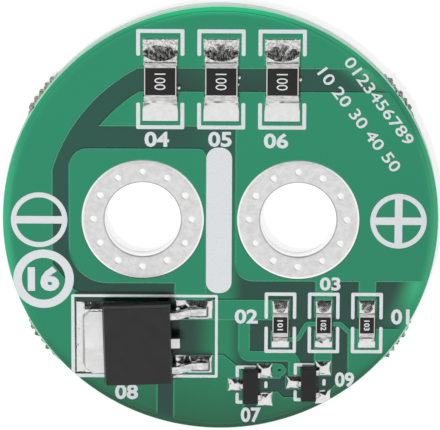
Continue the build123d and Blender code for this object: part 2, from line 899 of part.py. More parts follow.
finish(q2_heat_tab, "q2_heat_tab")

with BuildPart() as q2_moulding:
    with BuildSketch(q2_plane.offset(q2_parting)):
        Rectangle(q2_length, q2_width)
    extrude(amount=q2_height - q2_parting, taper=q2_draft)
    with BuildSketch(q2_plane.offset(q2_parting)):
        Rectangle(q2_length, q2_width)
    extrude(amount=-(q2_parting - q2_lift), taper=q2_draft)
    for metal in (q2_heat_tab, q2_emitter_lead, q2_base_lead):
        add(metal.part, mode=Mode.SUBTRACT)
finish(q2_moulding, "q2_moulding")

with BuildPart() as q2_solder:
    with BuildSketch(Plane.XY.offset(copper_top)):
        box_between(*q2_tab_pad)
        Circle(copper_radius, mode=Mode.INTERSECT)
    extrude(amount=q2_bond)
    with BuildSketch(Plane.XY.offset(copper_top)):
        open_end = q2_x - q2_end - q2_bond
        box_between(q2_tab_pad[0], open_end, q2_tab_pad[2], q2_tab_pad[3])
        Circle(copper_radius, mode=Mode.INTERSECT)
    extrude(amount=q2_tab_solder_height, taper=q2_solder_taper)
    for pad in (q2_upper_pad, q2_lower_pad):
        with BuildSketch(Plane.XY.offset(copper_top)):
            box_between(*pad)
        extrude(amount=q2_lead_solder_height, taper=q2_solder_taper)
    for metal in (q2_heat_tab, q2_emitter_lead, q2_base_lead):
        add(metal.part, mode=Mode.SUBTRACT)
finish(q2_solder, "q2_solder")


# Three-legged packages
def small_package(name, x, y, pads, lead_names):
    """Moulding, three formed leads and their solder; one leg to the left and two to the right."""
    seat = copper_top + small_bond
    parting = small_lift + small_height / 2
    places = ((-1, 0), (1, small_lead_pitch / 2), (1, -small_lead_pitch / 2))
    leads = []
    for (side, v), lead_name in zip(places, lead_names):
        side_plane = Plane(origin=(x, y + v, seat), x_dir=(side, 0, 0), z_dir=(0, -side, 0))
        with BuildPart() as lead:
            with BuildSketch(side_plane):
                with BuildLine():
                    FilletPolyline(
                        (small_width / 2 - small_lead_inside, parting),
                        (small_width / 2 + small_lead_shoulder, parting),
                        (small_lead_span / 2 - small_lead_foot, small_lead_thickness / 2),
                        (small_lead_span / 2, small_lead_thickness / 2),
                        radius=small_lead_bend,
                    )
                trace(line_width=small_lead_thickness)
            extrude(amount=small_lead_width / 2, both=True)
        finish(lead, f"{name}_{lead_name}_lead")
        leads.append(lead)

    with BuildPart() as moulding:
        for rise in (small_height / 2, -small_height / 2):
            with BuildSketch(Plane.XY.offset(seat + parting)):
                with Locations((x, y)):
                    Rectangle(small_width, small_length)
            extrude(amount=rise, taper=small_draft)
        for lead in leads:
            add(lead.part, mode=Mode.SUBTRACT)
    finish(moulding, f"{name}_moulding")

    with BuildPart() as solder:
        for pad in pads:
            with BuildSketch(Plane.XY.offset(copper_top)):
                box_between(*pad)
            extrude(amount=small_solder_height, taper=small_solder_taper)
        for lead in leads:
            add(lead.part, mode=Mode.SUBTRACT)
    finish(solder, f"{name}_solder")


small_package("q1", q1_x, q1_y, (q1_left, q1_upper, q1_lower), ("collector", "emitter", "base"))
small_package("u1", u1_x, u1_y, (u1_left, u1_upper, u1_lower), ("anode", "cathode", "reference"))
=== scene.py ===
"""Looks of a round battery protection board.

A laminate disc with solder mask and printed legend, two tinned screw terminals, and the
resistors, the power transistor and the two small packages that are soldered to it.
"""
import random
from math import cos, degrees, hypot, pi, radians, sin, sqrt

import bmesh
import bpy
from mathutils import Matrix, Vector, noise


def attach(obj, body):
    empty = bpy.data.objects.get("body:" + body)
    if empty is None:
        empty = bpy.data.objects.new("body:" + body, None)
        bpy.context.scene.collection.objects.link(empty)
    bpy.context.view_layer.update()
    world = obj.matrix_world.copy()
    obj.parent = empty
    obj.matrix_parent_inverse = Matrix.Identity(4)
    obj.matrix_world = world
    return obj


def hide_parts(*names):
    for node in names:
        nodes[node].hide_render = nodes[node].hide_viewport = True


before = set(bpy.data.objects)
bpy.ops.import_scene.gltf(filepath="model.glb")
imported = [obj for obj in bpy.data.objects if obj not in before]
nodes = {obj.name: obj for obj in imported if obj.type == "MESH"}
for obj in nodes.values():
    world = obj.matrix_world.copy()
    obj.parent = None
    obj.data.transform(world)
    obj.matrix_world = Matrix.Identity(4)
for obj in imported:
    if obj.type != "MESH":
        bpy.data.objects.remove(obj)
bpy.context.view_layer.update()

# Heights in millimetres above the board's underside
LAMINATE_LOW = 0.1
LAMINATE_TOP = 1.5
COPPER_TOP = 1.57
MASK_LOW = 1.52
MASK_TOP = 1.59
INK_TOP = 1.61
BOARD_TOP = 1.6
CHIP_SEAT = 1.62
SMALL_SEAT = 1.6
Q2_SEAT = 1.65

# Board and terminals
BOARD_R = 17.8
COPPER_R = 17.35
HOLE_X = 6.35
HOLE_R = 3.1
BARREL_R = 3.15
RING_R = 5.0
VIA_CIRCLE_R = 4.0
VIA_COUNT = 12
VIA_DOME_R = 0.32
VIA_DOME_HEIGHT = 0.05
LINK_VIA = (4.89, -12.73)
LINK_VIA_R = 0.2

# Stubs of the tabs that held the board in its panel
STUB_ANGLES = (35.4, 144.6, 215.4, 324.6)
PERFORATION_R = 0.23
PERFORATION_PITCH = 0.7
PERFORATION_COUNT = 6
STUB_REACH = 0.34
STUB_LIMIT = 0.36

# Chip resistors, with the form of the solder on their far and near pads
POWER_MIDDLES = {"r4": (-4.93, 11.68), "r5": (0.02, 11.68), "r6": (4.97, 11.68)}
POWER_SIZES = {
    "length": 3.2, "width": 2.6, "height": 0.6, "cap": 0.5, "glaze": 2.44,
    "pad_width": 2.88, "pad_length": 2.25, "pad_span": 6.86,
    "far": {"reach": 1.4, "corner": 0.4, "roll": 0.05, "flank": 0.46, "lean": 1.4, "bow": 0.3},
    "near": {"reach": 1.5, "lumps": 0.012},
    "code": {"height": 0.9, "width": 1.36, "weight": -0.004},
}
SIGNAL_MIDDLES = {"r2": (4.95, -8.78), "r3": (8.5, -8.78), "r1": (12.05, -8.78)}
SIGNAL_SIZES = {
    "length": 2.0, "width": 1.28, "height": 0.5, "cap": 0.35, "glaze": 1.14,
    "pad_width": 1.4, "pad_length": 1.45, "pad_span": 4.1,
    "far": {"reach": 1.15, "corner": 0.0, "roll": -0.05, "flank": 0.65, "lean": 0.78, "bow": 0.35},
    "near": {"reach": 0.9, "lumps": 0.05},
    "code": {"height": 0.46, "width": 0.86, "weight": 0.02},
}

# Power transistor, with its pads and its printed frame's inner edge as left, right, low and high
Q2_MIDDLE = (-6.75, -10.2)
Q2_TURN = radians(1.9)
Q2_HALF = (2.82, 3.37)
Q2_TAB_LEFT = -4.35
Q2_TAB_SIDES = (-2.55, 2.65)
Q2_FOOT_MIDDLE = (5.04, 2.3)
Q2_FOOT_HALF = (0.65, 0.31)
Q2_TAB_PAD = (-11.79, -6.5, -12.98, -6.96)
Q2_LEAD_PADS = ((-3.69, -0.6, -8.44, -6.79), (-3.69, -0.6, -13.02, -11.49))
Q2_FRAME = (-11.92, -0.47, -13.15, -6.66)

# Three-legged packages
SMALL_MIDDLES = {"q1": (2.52, -14.03), "u1": (7.3, -13.8)}
SMALL_LEADS = {"q1": ("collector", "emitter", "base"), "u1": ("anode", "cathode", "reference")}

# Stray solder balls: middle and radius
SOLDER_BALLS = ((-3.44, 11.08, 0.19), (1.46, 11.94, 0.18), (1.4, 11.35, 0.12), (6.4, 11.79, 0.19))

# Printed numbers: middle, width and height, and codes on the resistors in order of their rows
PLACE_NUMBERS = {
    "04": (-5.21, 6.73, 2.0, 1.28), "05": (-0.07, 6.75, 1.92, 1.28), "06": (4.49, 6.64, 2.0, 1.28),
    "02": (2.15, -8.2, 1.9, 1.23), "03": (9.01, -5.4, 1.7, 1.14), "01": (14.79, -8.18, 1.53, 1.32),
    "08": (-7.68, -14.68, 1.9, 1.29), "07": (2.57, -16.62, 1.66, 1.3),
    "09": (10.27, -13.57, 1.58, 1.28),
}
POWER_CODES = ("100", "100", "100")
SIGNAL_CODES = ("101", "102", "103")

# Even light from all round, beside the two lamps
FILL_LIGHT = 0.2

draw = random.Random(26)


def paint(red, green, blue):
    """Linear colour of a shade given as it shows on a screen, from 0 to 255."""
    def straight(level):
        level /= 255
        return level / 12.92 if level <= 0.04045 else ((level + 0.055) / 1.055) ** 2.4
    return straight(red), straight(green), straight(blue), 1.0


# Sums for the finishes
class Socket:
    """An output of a shader node, on which sums can be written."""

    def __init__(self, finish, socket):
        self.finish = finish
        self.socket = socket

    def sum(self, operation, first, second=None):
        values = {0: first} if second is None else {0: first, 1: second}
        return self.finish.node("ShaderNodeMath", values, operation=operation)

    def __add__(self, other):
        return self.sum("ADD", self, other)

    def __radd__(self, other):
        return self.sum("ADD", other, self)

    def __sub__(self, other):
        return self.sum("SUBTRACT", self, other)

    def __rsub__(self, other):
        return self.sum("SUBTRACT", other, self)

    def __mul__(self, other):
        return self.sum("MULTIPLY", self, other)

    def __rmul__(self, other):
        return self.sum("MULTIPLY", other, self)

    def __pow__(self, other):
        return self.sum("POWER", self, other)

    def __abs__(self):
        return self.sum("ABSOLUTE", self)

    def larger(self, other):
        """The larger of the two."""
        return self.sum("MAXIMUM", self, other)

    def above(self, low, high):
        """0 below low, 1 above high and smooth between them."""
        return self.finish.node("ShaderNodeMapRange", {0: self, 1: low, 2: high},
                                interpolation_type="SMOOTHSTEP")

    def below(self, low, high):
        """1 below low, 0 above high and smooth between them."""
        return 1 - self.above(low, high)

    def other(self, output):
        """Another output of the same node."""
        return Socket(self.finish, self.socket.node.outputs[output])


class Finish:
    """A material, or the world's surroundings, and the nodes that make it."""

    def __init__(self, name, holders=bpy.data.materials):
        self.material = holders.new(name)
        self.material.use_nodes = True
        self.tree = self.material.node_tree
        self.tree.nodes.clear()

    def node(self, kind, values=(), output=0, **settings):
        made = self.tree.nodes.new(kind)
        for name, setting in settings.items():
            setattr(made, name, setting)
        for name, value in dict(values).items():
            if isinstance(value, Socket):
                self.tree.links.new(value.socket, made.inputs[name])
            else:
                made.inputs[name].default_value = value
        return Socket(self, made.outputs[output]) if made.outputs else None

    def parts(self, vector):
        """The x, y and z of a vector."""
        axes = self.node("ShaderNodeSeparateXYZ", {0: vector})
        return [axes.other(n) for n in range(3)]

    def place(self):
        """The object's own coordinates in millimetres: x, y, z and the vector of all three."""
        metres = self.node("ShaderNodeTexCoord", output="Object")
        vector = self.node("ShaderNodeVectorMath", {0: metres, "Scale": 1000}, operation="SCALE")
        return *self.parts(vector), vector

    def facing(self):
        """The way the surface looks, along the object's own x, y and z."""
        return self.parts(self.node("ShaderNodeTexCoord", output="Normal"))

    def rounded(self, radius):
        """The same as facing, with the edges rounded by this many millimetres."""
        return self.parts(self.node("ShaderNodeBevel", {"Radius": radius / 1000}, samples=8))

    def cloud(self, vector, scale, detail=3, roughness=0.5, stretch=None):
        """Soft noise from 0 to 1, with scale cells to the millimetre."""
        if stretch:
            vector = self.node("ShaderNodeVectorMath", {0: vector, 1: stretch},
                               operation="MULTIPLY")
        return self.node("ShaderNodeTexNoise", {"Vector": vector, "Scale": scale,
                                                "Detail": detail, "Roughness": roughness})

    def blend(self, factor, first, second):
        return self.node("ShaderNodeMix", {0: factor, 6: first, 7: second}, output=2,
                         data_type="RGBA")

    def bump(self, height, depth):
        """Normal of a relief whose full height is depth millimetres."""
        return self.node("ShaderNodeBump", {"Height": height, "Distance": depth / 1000})

    def close(self, **values):
        """End with a surface of these inputs, whose underscores stand for spaces."""
        named = {name.replace("_", " "): value for name, value in values.items()}
        surface = self.node("ShaderNodeBsdfPrincipled", named)
        self.node("ShaderNodeOutputMaterial", {"Surface": surface})
        return self.material


# Laminate
def laminate_finish():
    """Glass cloth in resin: pale layers at the cut edge, and grey torn fibres at the stubs."""
    finish = Finish("laminate")
    x, y, z, at = finish.place()
    radius = (x * x + y * y) ** 0.5
    angle = finish.node("ShaderNodeMath", {0: y, 1: x}, operation="ARCTAN2")
    around = finish.node("ShaderNodeCombineXYZ", {0: angle * BOARD_R, 1: radius * 0.25, 2: z * 0.8})
    layers = finish.cloud(at, 1.0, 2, 0.6, (0.5, 0.5, 7.0))
    fibres = finish.cloud(around, 7.0, 3, 0.6)
    broken = radius.above(BOARD_R + 0.02, BOARD_R + 0.14)
    upper_half = z.above(0.6, 1.45)
    resin = finish.blend(upper_half, paint(206, 226, 213), paint(150, 212, 184))
    resin = finish.blend(layers * 0.4, resin, paint(230, 240, 232))
    torn = finish.blend(fibres.above(0.36, 0.62), paint(88, 86, 78), paint(178, 175, 164))
    return finish.close(
        Base_Color=finish.blend(broken, resin, torn),
        Roughness=0.55,
        Normal=finish.bump(layers + fibres * 2, 0.04),
    )


# Solder mask, whose colour, painted light and painted shade change with x and y over the board
def lacquer(finish, at, colour):
    """Glossy lacquer of this colour, with a slow ripple."""
    ripple = finish.cloud(at, 1.6, 3)
    return finish.close(Base_Color=colour, Roughness=0.2, IOR=1.5,
                        Normal=finish.bump(ripple, 0.004))


def mask_tone(finish, at):
    """Slow change of the mask's thickness, from 0 to 1."""
    return finish.cloud(at, 0.16, 2)


def mask_over_copper(finish, y, tone):
    """Light green, with painted shade that deepens it towards the near side and a little painted
    light towards the far side.
    """
    # Painted shade towards the near side and painted light towards the far side, for light that
    # falls off across the board
    lower_part, upper_part = y.above(-18.5, -10.0), y.above(-8.0, 14.0)
    green = finish.blend(lower_part, paint(2, 84, 52), paint(5, 126, 90))
    green = finish.blend(upper_part, green, paint(7, 132, 94))
    return finish.blend(tone * 0.1, green, paint(10, 152, 108))


def mask_over_laminate(finish, x, y, radius, tone):
    """Dark green, with painted light where light comes through the laminate with no copper below,
    and painted shade towards the near side and between the power resistors.
    """
    # Painted shade towards the near side
    green = finish.blend(y.above(-10.0, 6.0), paint(2, 54, 43), paint(2, 68, 54))
    green = finish.blend(tone * 0.2, green, paint(4, 92, 74))
    # Painted shade between the power resistors
    power_row_shade = y.above(9.6, 10.4) * y.below(10.4, 12.8) * abs(x).below(4.6, 5.6)
    green = finish.blend(power_row_shade, green, paint(2, 52, 42))
    # Painted light that comes through the laminate over the gap between the underside's two copper
    # halves
    slanted = x + y.above(-8.0, -6.5) * 0.6
    middle = x.below(0.4, 2.0) * slanted.above(-2.6, 0.1) * (1 - y.above(-1.0, 6.0) * 0.85)
    green = finish.blend(middle, green, paint(4, 124, 85))
    right = x.above(3.0, 11.0) * y.above(-10.0, -5.0)
    upper_right = y.above(9.0, 9.4) * y.below(10.4, 13.4) * 0.7
    lit_rim = right * (1 - upper_right) * radius.above(15.2, 17.4)
    return finish.blend(lit_rim, green, paint(50, 178, 122))


def mask_edges(finish, flat, z):
    """Painted highlights and painted shade along the steps where the mask comes down from the
    copper.
    """
    across, ahead, up = finish.rounded(0.11)
    wall = up.below(0.86, 0.99)
    # Painted highlights on walls that face right or near, and painted shade on walls that face far
    lit = (across - ahead).above(-0.3, 0.1)
    walls = finish.blend(lit, paint(5, 126, 90), paint(70, 170, 128))
    walls = finish.blend(ahead.above(0.02, 0.2), walls, paint(1, 34, 26))
    flat = finish.blend(wall, flat, walls)
    # Painted highlight along the crest above the walls that face far
    on_top = z.above(MASK_TOP - 0.006, MASK_TOP - 0.003)
    crest_highlight = ahead.above(0.02, 0.08) * up.above(0.97, 0.985) * on_top
    return finish.blend(crest_highlight, flat, paint(34, 156, 114))


def link_via_ring(finish, flat, x, y):
    """Lighter ring of copper round the small via."""
    away = ((x - LINK_VIA[0]) ** 2 + (y - LINK_VIA[1]) ** 2) ** 0.5
    ring = away.above(LINK_VIA_R, LINK_VIA_R + 0.06) * away.below(0.34, 0.46)
    return finish.blend(ring, flat, paint(9, 126, 90))


def shade_round_q2(x, y):
    """How dark the mask is above and beside the power transistor, and round its tab's pad."""
    u, v = x - Q2_MIDDLE[0], y - Q2_MIDDLE[1]
    past_side = (u * cos(Q2_TURN) + v * sin(Q2_TURN)) - Q2_HALF[0]
    past_end = (v * cos(Q2_TURN) - u * sin(Q2_TURN)) - Q2_HALF[1]
    above_it = y.above(-7.8, -7.5) * y.below(-6.2, -6.05) * abs(x + 7.85).below(3.95, 4.15)
    right_of_it = past_side.below(0.6, 0.74) * past_side.above(-0.4, -0.2)
    right_of_it = right_of_it * abs(past_end + 3.4).below(3.2, 3.6)
    by_lead = y.above(-11.6, -11.5) * y.below(-11.4, -11.0) * abs(x + 2.15).below(1.2, 1.7)
    left, right, low, high = Q2_TAB_PAD
    past_pad_x = abs(x - (left + right) / 2) - (right - left) / 2
    past_pad_y = abs(y - (low + high) / 2) - (high - low) / 2
    by_pad = past_pad_x.larger(past_pad_y).below(0.15, 0.2)
    return above_it.larger(right_of_it).larger(by_lead * 0.6).larger(by_pad * 0.8)


def mask_rim(finish, x, y):
    """Green at the board's rim, where light comes in from the side."""
    upper_right = x.above(10.0, 12.0) * y.above(6.0, 9.0) * y.below(12.0, 14.0)
    far_end = y.above(15.8, 17.6)
    right_end, left_end = x.above(15.6, 17.5), (0 - x).above(15.6, 17.5)
    rim = finish.blend(y.above(-16.5, -5.0), paint(2, 76, 48), paint(16, 148, 104))
    rim = finish.blend(upper_right, rim, paint(12, 124, 90))
    rim = finish.blend(far_end, rim, paint(4, 184, 124))
    rim = finish.blend(right_end, rim, paint(52, 156, 114))
    return finish.blend(left_end, rim, paint(44, 168, 124))


def mask_finish():
    """Green mask on the upper side: light over copper, dark over laminate, with painted light at
    the rim and along the copper's edges, and painted shade towards the near side, at the copper's
    far edges and round the power transistor.
    """
    finish = Finish("solder_mask")
    x, y, z, at = finish.place()
    radius = (x * x + y * y) ** 0.5
    tone = mask_tone(finish, at)
    raised = z.above(MASK_LOW + 0.02, MASK_TOP - 0.015)
    green = finish.blend(raised, mask_over_laminate(finish, x, y, radius, tone),
                         mask_over_copper(finish, y, tone))
    green = mask_edges(finish, green, z)
    green = link_via_ring(finish, green, x, y)
    green = finish.blend(radius.above(16.9, 17.6), green, mask_rim(finish, x, y))
    green = finish.blend(shade_round_q2(x, y) * 0.9, green, paint(1, 22, 17))
    return lacquer(finish, at, green)


def under_mask_finish():
    """Green mask on the underside, dark along the gap between its two halves of copper."""
    finish = Finish("solder_mask_under")
    x, y, _, at = finish.place()
    radius = (x * x + y * y) ** 0.5
    gap = abs(x).below(1.1, 1.35)
    rim = radius.above(COPPER_R - 0.03, COPPER_R + 0.08)
    tone = mask_tone(finish, at)
    over_copper = finish.blend(tone, paint(14, 124, 88), paint(16, 138, 98))
    bare = finish.blend(tone, paint(8, 92, 68), paint(10, 112, 80))
    return lacquer(finish, at, finish.blend(gap.larger(rim), over_copper, bare))


# Legend, terminals and copper
def ink_finish():
    finish = Finish("legend_ink")
    *_, at = finish.place()
    grain = finish.cloud(at, 5.0, 3)
    return finish.close(
        Base_Color=finish.blend(grain, paint(208, 211, 215), paint(225, 229, 232)),
        Roughness=0.5,
        Normal=finish.bump(grain, 0.004),
    )


def tin_finish():
    """Hot-air levelled tin: soft mottling, a painted highlight along the outer edge and a grey line
    round the hole.
    """
    finish = Finish("tinned_copper")
    x, y, z, at = finish.place()
    patches = finish.cloud(at, 1.8, 4, 0.6)
    reach = ((abs(x) - HOLE_X) ** 2 + y * y) ** 0.5
    face = finish.blend(patches.above(0.3, 0.7), paint(214, 213, 213), paint(232, 231, 231))
    # Painted highlight along the ring's rounded outer edge
    outer_edge_highlight = reach.above(RING_R - 0.18, RING_R - 0.12)
    face = finish.blend(outer_edge_highlight, face, paint(254, 254, 254))
    on_top = z.above(BOARD_TOP - 0.05, BOARD_TOP - 0.01)
    line = reach.below(HOLE_R + 0.06, HOLE_R + 0.16) * on_top
    face = finish.blend(line * 0.7, face, paint(150, 150, 150))
    turn = finish.node("ShaderNodeMath", {0: y, 1: abs(x) - HOLE_X}, operation="ARCTAN2")
    half_pitch = pi * VIA_CIRCLE_R / VIA_COUNT
    aside = finish.node("ShaderNodeMath", {0: turn * VIA_CIRCLE_R, 1: half_pitch},
                        operation="PINGPONG")
    from_via = (aside**2 + (reach - VIA_CIRCLE_R) ** 2) ** 0.5
    lower_end = from_via.below(VIA_DOME_R - 0.06, VIA_DOME_R) * z.below(0.02, 0.06)
    face = finish.blend(lower_end * 0.6, face, paint(150, 150, 150))
    hole_wall = (reach.below(HOLE_R + 0.01, HOLE_R + 0.04)
                 * z.below(BOARD_TOP - 0.09, BOARD_TOP - 0.05))
    return finish.close(
        Base_Color=finish.blend(hole_wall, face, paint(242, 242, 242)),
        Metallic=1.0,
        Roughness=0.3 + patches * 0.16,
        Normal=finish.bump(patches - lower_end, 0.012),
    )


def via_end_finish():
    """Domed end of a filled via, with painted shade on the side that the light doesn't reach."""
    finish = Finish("via_ends")
    *_, at = finish.place()
    across, ahead, _ = finish.facing()
    grain = finish.cloud(at, 8.0, 2)
    bright = finish.blend(grain, paint(240, 240, 240), paint(250, 250, 250))
    # Painted shade on the side of the dome away from the light
    lit = (across + ahead * 1.2).above(-0.62, -0.36)
    return finish.close(Base_Color=finish.blend(lit, paint(130, 130, 130), bright), Roughness=0.45)


def plug_finish():
    """Mask that has run into the small via."""
    finish = Finish("via_plug")
    *_, at = finish.place()
    tone = finish.cloud(at, 6.0, 2)
    return finish.close(Base_Color=finish.blend(tone, paint(2, 60, 44), paint(4, 78, 58)),
                        Roughness=0.25)


def copper_finish():
    finish = Finish("copper")
    *_, at = finish.place()
    grain = finish.cloud(at, 3.0, 3)
    return finish.close(
        Base_Color=finish.blend(grain, paint(186, 112, 78), paint(206, 138, 100)),
        Metallic=1.0,
        Roughness=0.34,
        Normal=finish.bump(grain, 0.004),
    )


# Solder and parts
def solder_finish(name, fine):
    """Bright solder, smooth where it lies flat and drawn into fine fibres where it climbs, with
    painted shade in the crevice along the body.
    """
    finish = Finish(name)
    _, y, _, at = finish.place()
    _, ahead, _ = finish.facing()
    grain = finish.cloud(at, 5.0, 3, 0.6, (1.2, 0.7, 1.0))
    lumps = finish.cloud(at, 2.0, 3)
    fibres = grain * (0.3 + ahead.above(0.02, 0.3) * fine)
    bright = finish.blend(lumps, paint(216, 215, 215), paint(238, 237, 237))
    on_far_pads = y.above(12.7, 12.9)
    specks = finish.cloud(at, 5.0, 2, 0.6).above(0.4, 0.62) * on_far_pads
    bright = finish.blend(specks, bright, paint(178, 177, 175))
    streaks = finish.cloud(at, 4.5, 3, 0.7, (1.2, 0.6, 1.0)).above(0.42, 0.68)
    dull = streaks * ahead.above(0.08, 0.3)
    # Painted shade along the crevice at the body
    crevice_shade = finish.node("ShaderNodeAttribute", output="Fac", attribute_name="crevice_shade")
    return finish.close(
        Base_Color=finish.blend(crevice_shade, bright, paint(24, 24, 24)),
        Metallic=1 - dull * (0.3 * fine),
        Roughness=0.14 + grain * 0.12,
        Normal=finish.bump(fibres + lumps * 1.5, 0.016),
    )


def cap_finish():
    """Plated end of a resistor, brushed along its length."""
    finish = Finish("end_caps")
    *_, at = finish.place()
    streaks = finish.cloud(at, 5.0, 3, 0.6, (0.35, 2.0, 1.0))
    return finish.close(
        Base_Color=finish.blend(streaks.above(0.3, 0.68), paint(176, 175, 174),
                                paint(232, 231, 230)),
        Metallic=0.9,
        Roughness=0.32 + streaks * 0.2,
        Normal=finish.bump(streaks, 0.03),
    )


def ceramic_finish():
    finish = Finish("ceramic")
    *_, at = finish.place()
    grain = finish.cloud(at, 8.0, 3)
    return finish.close(
        Base_Color=finish.blend(grain, paint(206, 203, 196), paint(226, 223, 216)),
        Roughness=0.6,
        Normal=finish.bump(grain, 0.008),
    )


def glaze_finish():
    finish = Finish("resistor_glaze")
    *_, at = finish.place()
    grain = finish.cloud(at, 6.0, 3)
    return finish.close(
        Base_Color=finish.blend(grain, paint(10, 10, 11), paint(24, 24, 25)),
        Roughness=0.42,
        Specular_IOR_Level=0.35,
        Normal=finish.bump(grain, 0.006),
    )


def code_finish():
    finish = Finish("code_ink")
    *_, at = finish.place()
    grain = finish.cloud(at, 9.0, 2)
    return finish.close(Base_Color=finish.blend(grain, paint(210, 211, 213), paint(238, 239, 241)),
                        Roughness=0.5)


def moulding_finish(name, dark, pale, wall, parting):
    """Black moulded plastic, with painted light on its sides above the parting height, which makes
    them paler than its top, and painted shade that makes them near black below it.
    """
    finish = Finish(name)
    _, _, z, at = finish.place()
    *_, up = finish.facing()
    grain = finish.cloud(at, 14.0, 3, 0.6)
    patches = finish.cloud(at, 0.8, 2)
    # Painted light on the sides above the parting height, and painted shade below it
    sides = finish.blend(z.above(parting - 0.1, parting + 0.1), paint(5, 5, 5), wall)
    top = finish.blend(patches, dark, pale)
    return finish.close(
        Base_Color=finish.blend(up.above(0.3, 0.8), sides, top),
        Roughness=0.5 + grain * 0.15,
        Specular_IOR_Level=0.4,
        Normal=finish.bump(grain, 0.012),
    )


def lead_finish(name, dark, cells, relief):
    """Plated metal with this many cells of grain to the millimetre, and their relief."""
    finish = Finish(name)
    *_, at = finish.place()
    grain = finish.cloud(at, cells, 2, 0.5, (0.6, 1.4, 1.0))
    return finish.close(
        Base_Color=finish.blend(grain.above(0.3, 0.7), dark, paint(240, 239, 239)),
        Metallic=1.0,
        Roughness=0.2 + grain * 0.16,
        Normal=finish.bump(grain, relief),
    )


LAMINATE = laminate_finish()
MASK = mask_finish()
UNDER_MASK = under_mask_finish()
INK = ink_finish()
TIN = tin_finish()
SOLDER = solder_finish("solder", fine=1.3)
LEAD_SOLDER = solder_finish("lead_solder", fine=0.3)
CAP = cap_finish()
CERAMIC = ceramic_finish()
GLAZE = glaze_finish()
MOULDING = moulding_finish("power_moulding", paint(27, 27, 27), paint(38, 38, 38),
                           wall=paint(78, 78, 78), parting=3.2)
SMALL_MOULDING = moulding_finish("small_moulding", paint(12, 12, 12), paint(22, 22, 22),
                                 wall=paint(52, 52, 52), parting=2.1)
LEAD = lead_finish("plated_leads", paint(196, 195, 195), cells=3.0, relief=0.012)
TAB = lead_finish("plated_tab", paint(214, 213, 213), cells=0.5, relief=0.003)
COPPER = copper_finish()
CODE = code_finish()
VIA_END = via_end_finish()
PLUG = plug_finish()


# Pieces
def piece(name, bm, finish, replaced=(), sharp=32, recalc=True, level=False):
    """Make the mesh, drawn in millimetres, a piece of the board.

    Edges that turn by more than sharp degrees stay sharp, and level keeps large faces plain.
    """
    if recalc:
        bmesh.ops.recalc_face_normals(bm, faces=bm.faces)
    bm.transform(Matrix.Scale(0.001, 4))
    mesh = bpy.data.meshes.new(name)
    bm.to_mesh(mesh)
    bm.free()
    for face in mesh.polygons:
        face.use_smooth = True
    mesh.set_sharp_from_angle(angle=radians(sharp))
    mesh.materials.append(finish)
    made = bpy.data.objects.new(name, mesh)
    bpy.context.scene.collection.objects.link(made)
    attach(made, "root")
    if replaced:
        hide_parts(*replaced)
    if level:
        weighted = made.modifiers.new("level_faces", "WEIGHTED_NORMAL")
        weighted.keep_sharp = True


def dress(name, finish):
    """Give a CAD node its finish."""
    slots = nodes[name].data.materials
    slots.clear()
    slots.append(finish)


def cad_copy(name):
    """CAD node as one merged mesh in millimetres, with its flat areas made whole again."""
    bm = bmesh.new()
    bm.from_mesh(nodes[name].data)
    bm.transform(Matrix.Scale(1000, 4))
    bmesh.ops.remove_doubles(bm, verts=bm.verts, dist=0.0005)
    bmesh.ops.dissolve_limit(bm, angle_limit=radians(1), verts=bm.verts, edges=bm.edges)
    return bm


def soften(bm, width, segments=2, chosen=None, angle=30, clamped=True):
    """Bevel the edges that turn outwards by more than angle, or those of them that are chosen."""
    edges = [e for e in bm.edges if len(e.link_faces) == 2 and e.is_convex
             and e.calc_face_angle() > radians(angle) and (chosen is None or chosen(e))]
    bmesh.ops.bevel(bm, geom=edges, offset=width, offset_type="OFFSET", segments=segments,
                    profile=0.5, affect="EDGES", material=-1, clamp_overlap=clamped)


def softened_node(name, new_name, finish, width):
    """A CAD node with its edges worn by width."""
    bm = cad_copy(name)
    soften(bm, width, 3)
    piece(new_name, bm, finish, [name], recalc=False, level=True)


def upright(edge):
    first, second = (v.co for v in edge.verts)
    return hypot(first.x - second.x, first.y - second.y) < 0.001


def block(bm, left, right, low, high, bottom, top):
    """Add a plain box to the mesh and give its corners."""
    made = bmesh.ops.create_cube(bm, size=1)["verts"]
    bmesh.ops.scale(bm, vec=(right - left, high - low, top - bottom), verts=made)
    middle = ((left + right) / 2, (low + high) / 2, (bottom + top) / 2)
    bmesh.ops.translate(bm, vec=middle, verts=made)
    return made


# Laminate disc with the torn stubs
RIM_STEPS = 1800
DISC_LAYERS = 7
END_TOOTH = 0.4


def stub_reach(angle, teeth):
    """How far the disc's edge stands out at this angle, in millimetres."""
    span = PERFORATION_PITCH * PERFORATION_COUNT / 2
    for stub, tips in zip(STUB_ANGLES, teeth):
        along = radians(angle - stub) * (BOARD_R + PERFORATION_R)
        if abs(along) > span:
            continue
        cell = along / PERFORATION_PITCH + PERFORATION_COUNT / 2
        offset = (cell % 1 - 0.5) * PERFORATION_PITCH
        if abs(offset) < PERFORATION_R:
            hollow = PERFORATION_R - sqrt(PERFORATION_R**2 - offset**2)
            return min(tips[round(cell)], hollow + 0.06)
        return tips[round(cell)]
    return 0


